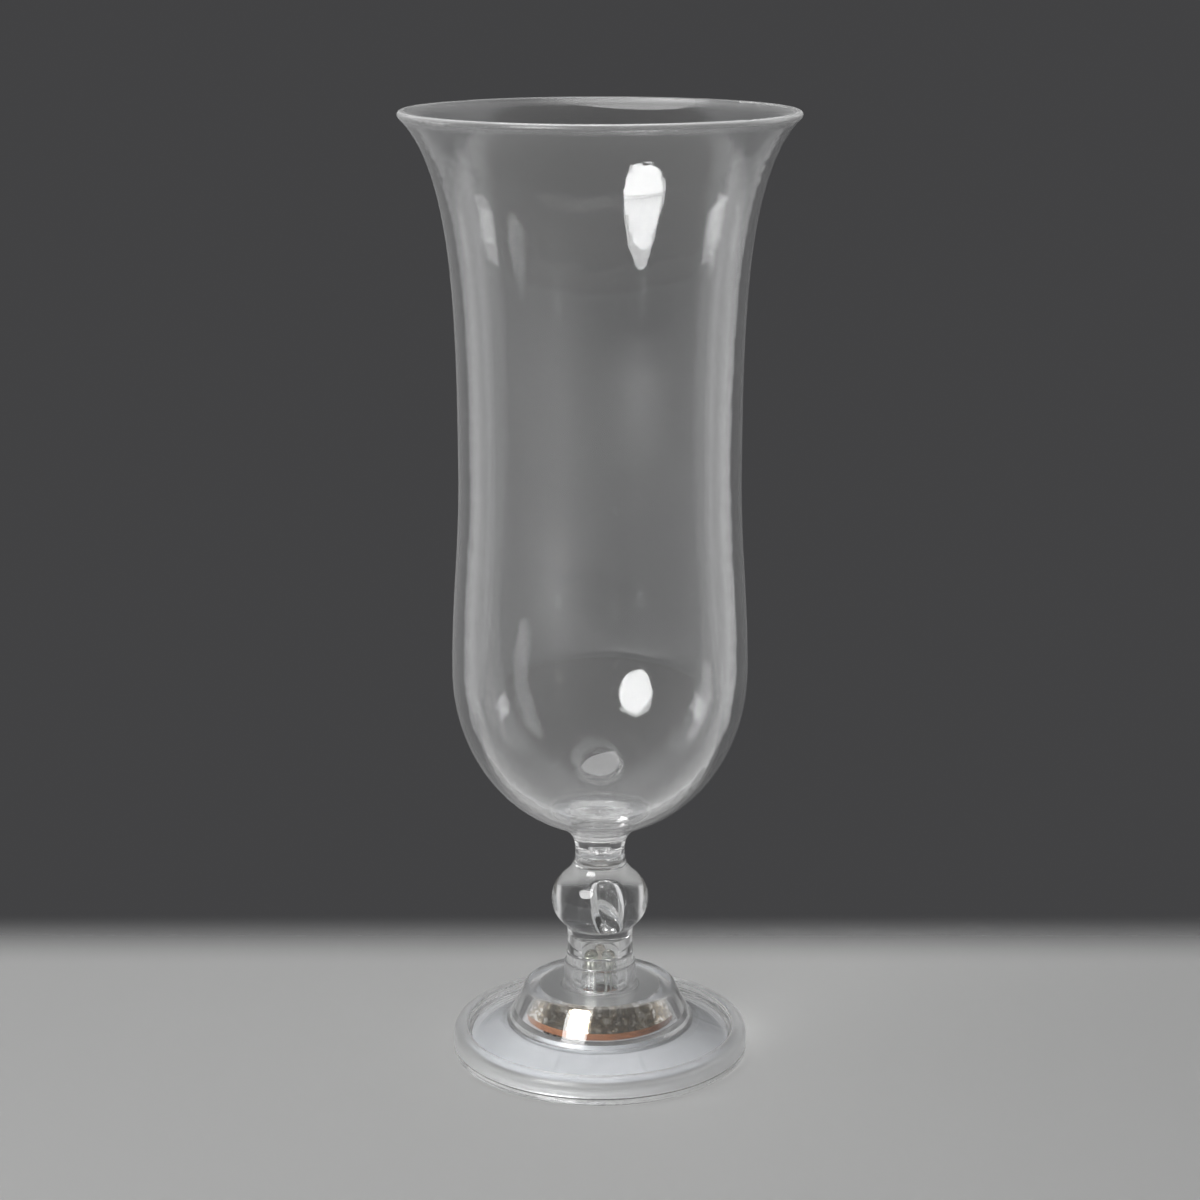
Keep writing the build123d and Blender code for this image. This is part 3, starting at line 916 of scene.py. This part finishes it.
@dataclass(frozen=True)
class LightUnit(Assembly):
    """The silvered cup, frosted film, board and three lights inside the foot."""

    lead_pitch: float = 2.54 * MM
    post_radius: float = 0.28 * MM
    post_height: float = 2.3 * MM
    post_reach: float = 0.62 * MM
    cup_radius: float = 0.62 * MM
    cup_height: float = 0.8 * MM
    solder_radius: float = 0.72 * MM
    solder_tip: float = 0.34 * MM
    solder_height: float = 0.55 * MM
    pin_radius: float = 0.35 * MM
    satin_depth: float = 0.5 * MM
    lights: tuple[str, ...] = ("led_red", "led_green", "led_blue")
    tints: tuple[Triple, ...] = ((0.93, 0.85, 0.74), (0.88, 0.9, 0.76), (0.86, 0.88, 0.82))
    wire: WorkedMetal = BRIGHT_WIRE
    film: FrostedFilm = FrostedFilm("film_frost")
    board: PhenolicBoard = PhenolicBoard("board_resin")
    chip: Moulded = Moulded("epoxy_drop", (0.02, 0.02, 0.022), (0.04, 0.04, 0.045), smooth=0.2, rough=0.35)
    ceramic: Moulded = Moulded("fired_ceramic", (0.05, 0.05, 0.06), (0.1, 0.1, 0.11))

    def lead_spots(self) -> list[Spot]:
        """Find where the lights' legs come through the board.

        Returns:
            One spot for each leg, on the board's upper face.
        """
        _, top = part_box("circuit_board")
        spots = []
        for light in self.lights:
            centre = middle_of(light)
            angle = math.atan2(centre.y, centre.x)
            along = Vector((-math.sin(angle), math.cos(angle), 0.0)) * self.lead_pitch / 2
            spots += [Spot((*(centre + side * along).xy, top.z)) for side in (-1, 1)]
        return spots

    def pin_spots(self) -> list[Spot]:
        """Find where the switch's four pins come through the board.

        Returns:
            One spot for each pin, on the board's upper face.
        """
        _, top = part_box("circuit_board")
        low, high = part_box("switch_pins")
        across = (low.x + self.pin_radius, high.x - self.pin_radius)
        along = (low.y + self.pin_radius, high.y - self.pin_radius)
        return [Spot((x, y, top.z)) for x in across for y in along]

    def frame_spots(self) -> list[Spot]:
        """Find where the metal inside each light stands.

        Returns:
            One spot for each light, turned with its legs.
        """
        spots = []
        for light in self.lights:
            low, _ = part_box(light)
            centre = middle_of(light)
            turn = math.atan2(centre.y, centre.x) + math.pi / 2
            spots.append(Spot((centre.x, centre.y, low.z + self.post_radius), turn))
        return spots

    def build(self) -> None:
        """Make the metal inside each light and the solder on the board."""
        graph = RepeatGraph("light_frames")
        radius = graph.size("Post Radius", self.post_radius)
        height = graph.size("Post Height", self.post_height)
        reach = graph.size("Post Reach", self.post_reach)
        cup = graph.size("Cup Radius", self.cup_radius)
        cup_height = graph.size("Cup Height", self.cup_height)
        post = graph.post(radius, radius, height)
        seat = graph.moved(graph.post(radius, cup, cup_height), graph.negative(reach), height)
        shape = graph.joined(graph.moved(post, reach), graph.moved(post, graph.negative(reach)), seat)
        graph.piece(shape, self.frame_spots(), self.wire, Body.GLASS)

        graph = RepeatGraph("solder_joints")
        wide = graph.size("Foot Radius", self.solder_radius)
        narrow = graph.size("Tip Radius", self.solder_tip)
        tall = graph.size("Height", self.solder_height)
        spots = self.lead_spots() + self.pin_spots()
        graph.piece(graph.post(wide, narrow, tall), spots, self.wire, Body.GLASS)

    def dress(self) -> None:
        """Finish the cup, film, board, lights, legs and small parts."""
        dress("diffuser_ring", self.film)
        _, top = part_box("reflector_cup")
        dress("reflector_cup", SilveredSkin("silvered_cup", top.z - self.satin_depth, top.z))
        dress("circuit_board", self.board)
        for light, tint in zip(self.lights, self.tints):
            dress(light, LensEpoxy(light + "_epoxy", tint))
            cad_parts[light].visible_shadow = False
        dress("led_leads", self.wire)
        dress("controller_chip", self.chip)
        dress("resistors", self.ceramic)


@dataclass(frozen=True)
class SwitchUnit(Assembly):
    """The push switch under the board and the button that works it."""

    ridge_radii: Pair = (1.5 * MM, 2.7 * MM)
    ridge_thickness: float = 0.16 * MM
    body: Moulded = Moulded("switch_black", (0.045, 0.045, 0.048), (0.075, 0.075, 0.08))
    pins: WorkedMetal = BRIGHT_WIRE
    plunger: Moulded = Moulded("plunger_grey", (0.09, 0.09, 0.09), (0.14, 0.14, 0.14))
    button: Moulded = Moulded("button_white", (0.66, 0.66, 0.63), (0.78, 0.78, 0.75), smooth=0.36, rough=0.5)

    def build(self) -> None:
        """Raise two rings on the button's pressing face."""
        low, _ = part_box("power_button")
        graph = RepeatGraph("button_ridges")
        thickness = graph.size("Ridge Thickness", self.ridge_thickness)
        radii = zip(("Inner Radius", "Outer Radius"), self.ridge_radii)
        rings = [graph.ring(graph.size(name, radius), thickness) for name, radius in radii]
        spot = Spot((0.0, 0.0, low.z))
        graph.piece(graph.joined(*rings), [spot], self.button, Body.BUTTON)

    def dress(self) -> None:
        """Finish the switch, its pins, its plunger and the button."""
        dress("switch_body", self.body)
        dress("switch_pins", self.pins)
        dress("switch_plunger", self.plunger)
        dress("power_button", self.button)


@dataclass(frozen=True)
class BatteryUnit(Assembly):
    """The holder with its three cells and the sprung contacts above and below them."""

    cells: tuple[str, ...] = ("button_cell_a", "button_cell_b", "button_cell_c")
    turned_over: str = "button_cell_b"
    contacts: tuple[str, ...] = (
        "cell_spring_a", "cell_spring_b", "cell_spring_c", "return_post", "lower_contact_link",
        "lower_contact_return")
    gasket_radius: float = 5.0 * MM
    gasket_thickness: float = 0.22 * MM
    gasket_height: float = 0.75 * MM
    holder: Moulded = Moulded("holder_white", (0.35, 0.365, 0.39), (0.43, 0.445, 0.47))
    gasket: Moulded = Moulded("cell_gasket", (0.03, 0.06, 0.045), (0.05, 0.09, 0.07))
    brass: WorkedMetal = WorkedMetal(
        "sprung_brass", (0.8, 0.62, 0.3), (0.55, 0.4, 0.18), smooth=0.22, rough=0.38, streak=(1.0, 0.15, 1.0))

    def build(self) -> None:
        """Set the insulating ring into the step of each cell."""
        graph = RepeatGraph("cell_gaskets")
        radius = graph.size("Ring Radius", self.gasket_radius)
        thickness = graph.size("Ring Thickness", self.gasket_thickness)
        spots = []
        for cell in self.cells:
            low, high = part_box(cell)
            centre = middle_of(cell)
            step = high.z - self.gasket_height if cell == self.turned_over else low.z + self.gasket_height
            spots.append(Spot((centre.x, centre.y, step)))
        graph.piece(graph.ring(radius, thickness), spots, self.gasket, Body.GLASS)

    def dress(self) -> None:
        """Finish the holder, cells and contacts."""
        dress("battery_holder", self.holder)
        for cell in self.cells:
            dress(cell, TurnedCan(cell + "_can", tuple(middle_of(cell))))
        for contact in self.contacts:
            dress(contact, self.brass)


@dataclass(frozen=True)
class BatteryDoor(Assembly):
    """The door under the foot with its seal and three screws."""

    screws: int = 3
    screw_circle: float = 15.2 * MM
    head_height: float = 1.4 * MM
    thread_radius: float = 0.8 * MM
    thread_turns: float = 6.0
    thread_length: float = 3.6 * MM
    thread_thickness: float = 0.13 * MM
    door: Moulded = Moulded("door_black", (0.024, 0.025, 0.028), (0.044, 0.045, 0.05))
    seal: Moulded = Moulded("seal_grey", (0.1, 0.1, 0.1), (0.16, 0.16, 0.16), smooth=0.6, rough=0.8)
    zinc: WorkedMetal = WorkedMetal(
        "zinc_steel", (0.66, 0.66, 0.64), (0.46, 0.46, 0.45), smooth=0.26, rough=0.42)

    def build(self) -> None:
        """Wind the thread on each screw."""
        low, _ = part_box("door_screws")
        graph = RepeatGraph("screw_threads")
        radius = graph.size("Thread Radius", self.thread_radius)
        turns = graph.size("Turns", self.thread_turns)
        length = graph.size("Length", self.thread_length)
        thread = graph.coil(radius, turns, length, graph.size("Thread Thickness", self.thread_thickness))
        spots = []
        for index in range(self.screws):
            angle = math.pi * (2 * index + 1) / self.screws
            x = self.screw_circle * math.cos(angle)
            y = self.screw_circle * math.sin(angle)
            spots.append(Spot((x, y, low.z + self.head_height), angle))
        graph.piece(thread, spots, self.zinc, Body.DOOR)

    def dress(self) -> None:
        """Finish the door, seal and screws."""
        dress("battery_door", self.door)
        dress("door_seal", self.seal)
        dress("door_screws", self.zinc)


@dataclass(frozen=True)
class Softbox:
    """One soft studio lamp, placed by its direction and distance from the glass, in metres.

    Without named solids it lights them all. It can be kept out of what shows through clear plastic and out
    of reflections.
    """

    name: str
    form: LampForm
    toward: Triple
    distance: float
    width: float
    height: float
    brightness: float
    lit: tuple[str, ...] = ()
    reach: LampReach = LampReach.ONLY
    through_glass: bool = True
    in_gloss: bool = True

    def build(self, aim: Vector) -> None:
        """Hang the lamp and say what it lights.

        Args:
            aim: The point that it faces.
        """
        data = bpy.data.lights.new(self.name, "AREA")
        data.shape = self.form.value
        data.size = self.width
        data.size_y = self.height
        data.energy = self.brightness * math.pi * self.width * self.height
        lamp = bpy.data.objects.new(self.name, data)
        bpy.context.scene.collection.objects.link(lamp)
        away = Vector(self.toward).normalized()
        lamp.location = aim + away * self.distance
        lamp.rotation_mode = "QUATERNION"
        lamp.rotation_quaternion = away.to_track_quat("Z", "Y")
        lamp.visible_camera = False
        lamp.visible_transmission = self.through_glass
        lamp.visible_glossy = self.in_gloss
        if self.lit:
            receivers = bpy.data.collections.new(self.name + "_receivers")
            for node in self.lit:
                receivers.objects.link(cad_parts[node])
            for member in receivers.collection_objects:
                member.light_linking.link_state = self.reach.value
            lamp.light_linking.receiver_collection = receivers


@dataclass(frozen=True)
class Studio:
    """Pale floor before a dark backdrop, pale walls to the sides, soft lamps and the photograph's camera."""

    floor_half: float = 12.0
    pale: Triple = (0.5, 0.5, 0.496)
    floor_satin: float = 0.85
    floor_gloss: float = 0.1
    floor_fades: float = 0.05
    floor_ends: float = 0.088
    backdrop: Triple = (0.055, 0.055, 0.057)
    room: Triple = (0.1, 0.094, 0.083)
    wall: Triple = (0.7, 0.7, 0.705)
    wall_narrow: float = 0.7
    wall_wide: float = 0.84
    wall_front: float = -0.05
    wall_back: float = 0.2
    ceiling: Triple = (0.7, 0.7, 0.7)
    ceiling_low: float = 0.35
    ceiling_high: float = 0.95
    fill: Triple = (0.25, 0.252, 0.255)
    aim: Triple = (0.0, 0.0, 0.13)
    camera_place: Triple = (0.0, -0.6047, 0.2612)
    camera_pitch: float = 14.1
    camera_lens: float = 81.78
    sensor: float = 36.0
    lamps: tuple[Softbox, ...] = (
        Softbox(
            "key_softbox", LampForm.ROUND, (-0.549, -0.767, 0.334), distance=1.2, width=0.66, height=0.66,
            brightness=8.0, lit=("stem",), reach=LampReach.ALL_BUT),
        Softbox(
            "stem_softbox", LampForm.ROUND, (-0.491, -0.509, 0.632), distance=1.2, width=0.7, height=0.7,
            brightness=8.0, lit=("stem",)),
        Softbox(
            "top_softbox", LampForm.OBLONG, (0.0, 0.25, 1.0), distance=1.25, width=1.4, height=1.2,
            brightness=0.8, through_glass=False, in_gloss=False),
        Softbox(
            "lip_softbox", LampForm.ROUND, (-0.12, 0.1, 1.0), distance=1.1, width=0.9, height=0.9,
            brightness=3.4, lit=("bowl",), through_glass=False),
        Softbox(
            "left_softbox", LampForm.OBLONG, (-1.0, 0.3, 0.12), distance=1.1, width=0.3, height=0.17,
            brightness=2.6, lit=("bowl",)),
        Softbox(
            "right_softbox", LampForm.OBLONG, (1.0, 0.3, 0.12), distance=1.1, width=0.3, height=0.17,
            brightness=2.6, lit=("bowl",)),
    )

    def build(self) -> None:
        """Set up the floor, backdrop, lamps and camera."""
        bpy.context.scene.view_settings.view_transform = "Standard"
        self.lay_floor()
        self.paint_backdrop()
        for lamp in self.lamps:
            lamp.build(Vector(self.aim))
        self.place_camera()

    def lay_floor(self) -> None:
        """Lay the floor; rays that only carry light pass it, so the underside of the foot is lit too."""
        half = self.floor_half
        corners = [(-half, -half, 0), (half, -half, 0), (half, half, 0), (-half, half, 0)]
        mesh = bpy.data.meshes.new("floor")
        mesh.from_pydata(corners, [], [(0, 1, 2, 3)])
        floor = bpy.data.objects.new("floor", mesh)
        bpy.context.scene.collection.objects.link(floor)
        graph = SurfaceGraph("floor_pale")
        graph.plain(
            Base_Color=(*self.pale, 1.0), Roughness=self.floor_satin, Specular_IOR_Level=self.floor_gloss)
        _, depth, _ = graph.split(graph.place)
        there = graph.span(depth, self.floor_fades, self.floor_ends, 1.0, 0.0)
        facing = graph.node("ShaderNodeNewGeometry").outputs["Backfacing"]
        from_above = graph.math("GREATER_THAN", graph.seen_rays(), facing)
        mix = graph.node("ShaderNodeMixShader")
        graph.feed(mix.inputs["Fac"], graph.math("MULTIPLY", from_above, there))
        graph.feed(mix.inputs[1], graph.node("ShaderNodeBsdfTransparent").outputs["BSDF"])
        graph.feed(mix.inputs[2], graph.shader.outputs["BSDF"])
        graph.feed(graph.tree.nodes["Material Output"].inputs["Surface"], mix.outputs["Shader"])
        mesh.materials.append(graph.material)

    def paint_backdrop(self) -> None:
        """Show the backdrop, walls and ceiling to rays that show a surface, and light the rest evenly."""
        world = bpy.data.worlds.new("backdrop")
        bpy.context.scene.world = world
        world.use_nodes = True
        graph = NodeGraph(world.node_tree)
        graph.tree.nodes.clear()
        x, y, z = graph.split(graph.node("ShaderNodeTexCoord").outputs["Generated"])
        behind = graph.span(y, self.wall_front, self.wall_back, 0.0, 1.0)
        beside = graph.span(graph.math("ABSOLUTE", x, 0.0), self.wall_narrow, self.wall_wide, 0.0, 1.0)
        above = graph.math("MULTIPLY", graph.span(z, self.ceiling_low, self.ceiling_high, 0.0, 1.0), behind)
        colour = graph.mixed(self.room, graph.mixed(self.backdrop, self.wall, beside), behind)
        shown = graph.node("ShaderNodeBackground")
        graph.feed(shown.inputs["Color"], graph.mixed(colour, self.ceiling, above))
        fill = graph.node("ShaderNodeBackground")
        fill.inputs["Color"].default_value = (*self.fill, 1.0)
        mix = graph.node("ShaderNodeMixShader")
        graph.feed(mix.inputs["Fac"], graph.seen_rays())
        graph.feed(mix.inputs[1], fill.outputs["Background"])
        graph.feed(mix.inputs[2], shown.outputs["Background"])
        graph.feed(graph.node("ShaderNodeOutputWorld").inputs["Surface"], mix.outputs["Shader"])

    def place_camera(self) -> None:
        """Put the camera where the photograph was taken from."""
        data = bpy.data.cameras.new("camera")
        data.lens = self.camera_lens
        data.sensor_width = self.sensor
        camera = bpy.data.objects.new("camera", data)
        bpy.context.scene.collection.objects.link(camera)
        camera.location = self.camera_place
        camera.rotation_euler = (math.radians(90.0 - self.camera_pitch), 0.0, 0.0)
        bpy.context.scene.camera = camera


def main() -> None:
    """Build and dress each sub-assembly and set up the studio."""
    logging.basicConfig(level=logging.INFO, format="%(name)s: %(message)s")
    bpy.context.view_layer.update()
    for assembly in (GlassBody(), LightUnit(), SwitchUnit(), BatteryUnit(), BatteryDoor()):
        LOG.info("sub-assembly %s", type(assembly).__name__)
        assembly.build()
        assembly.dress()
    Studio().build()


if __name__ == "__main__":
    main()
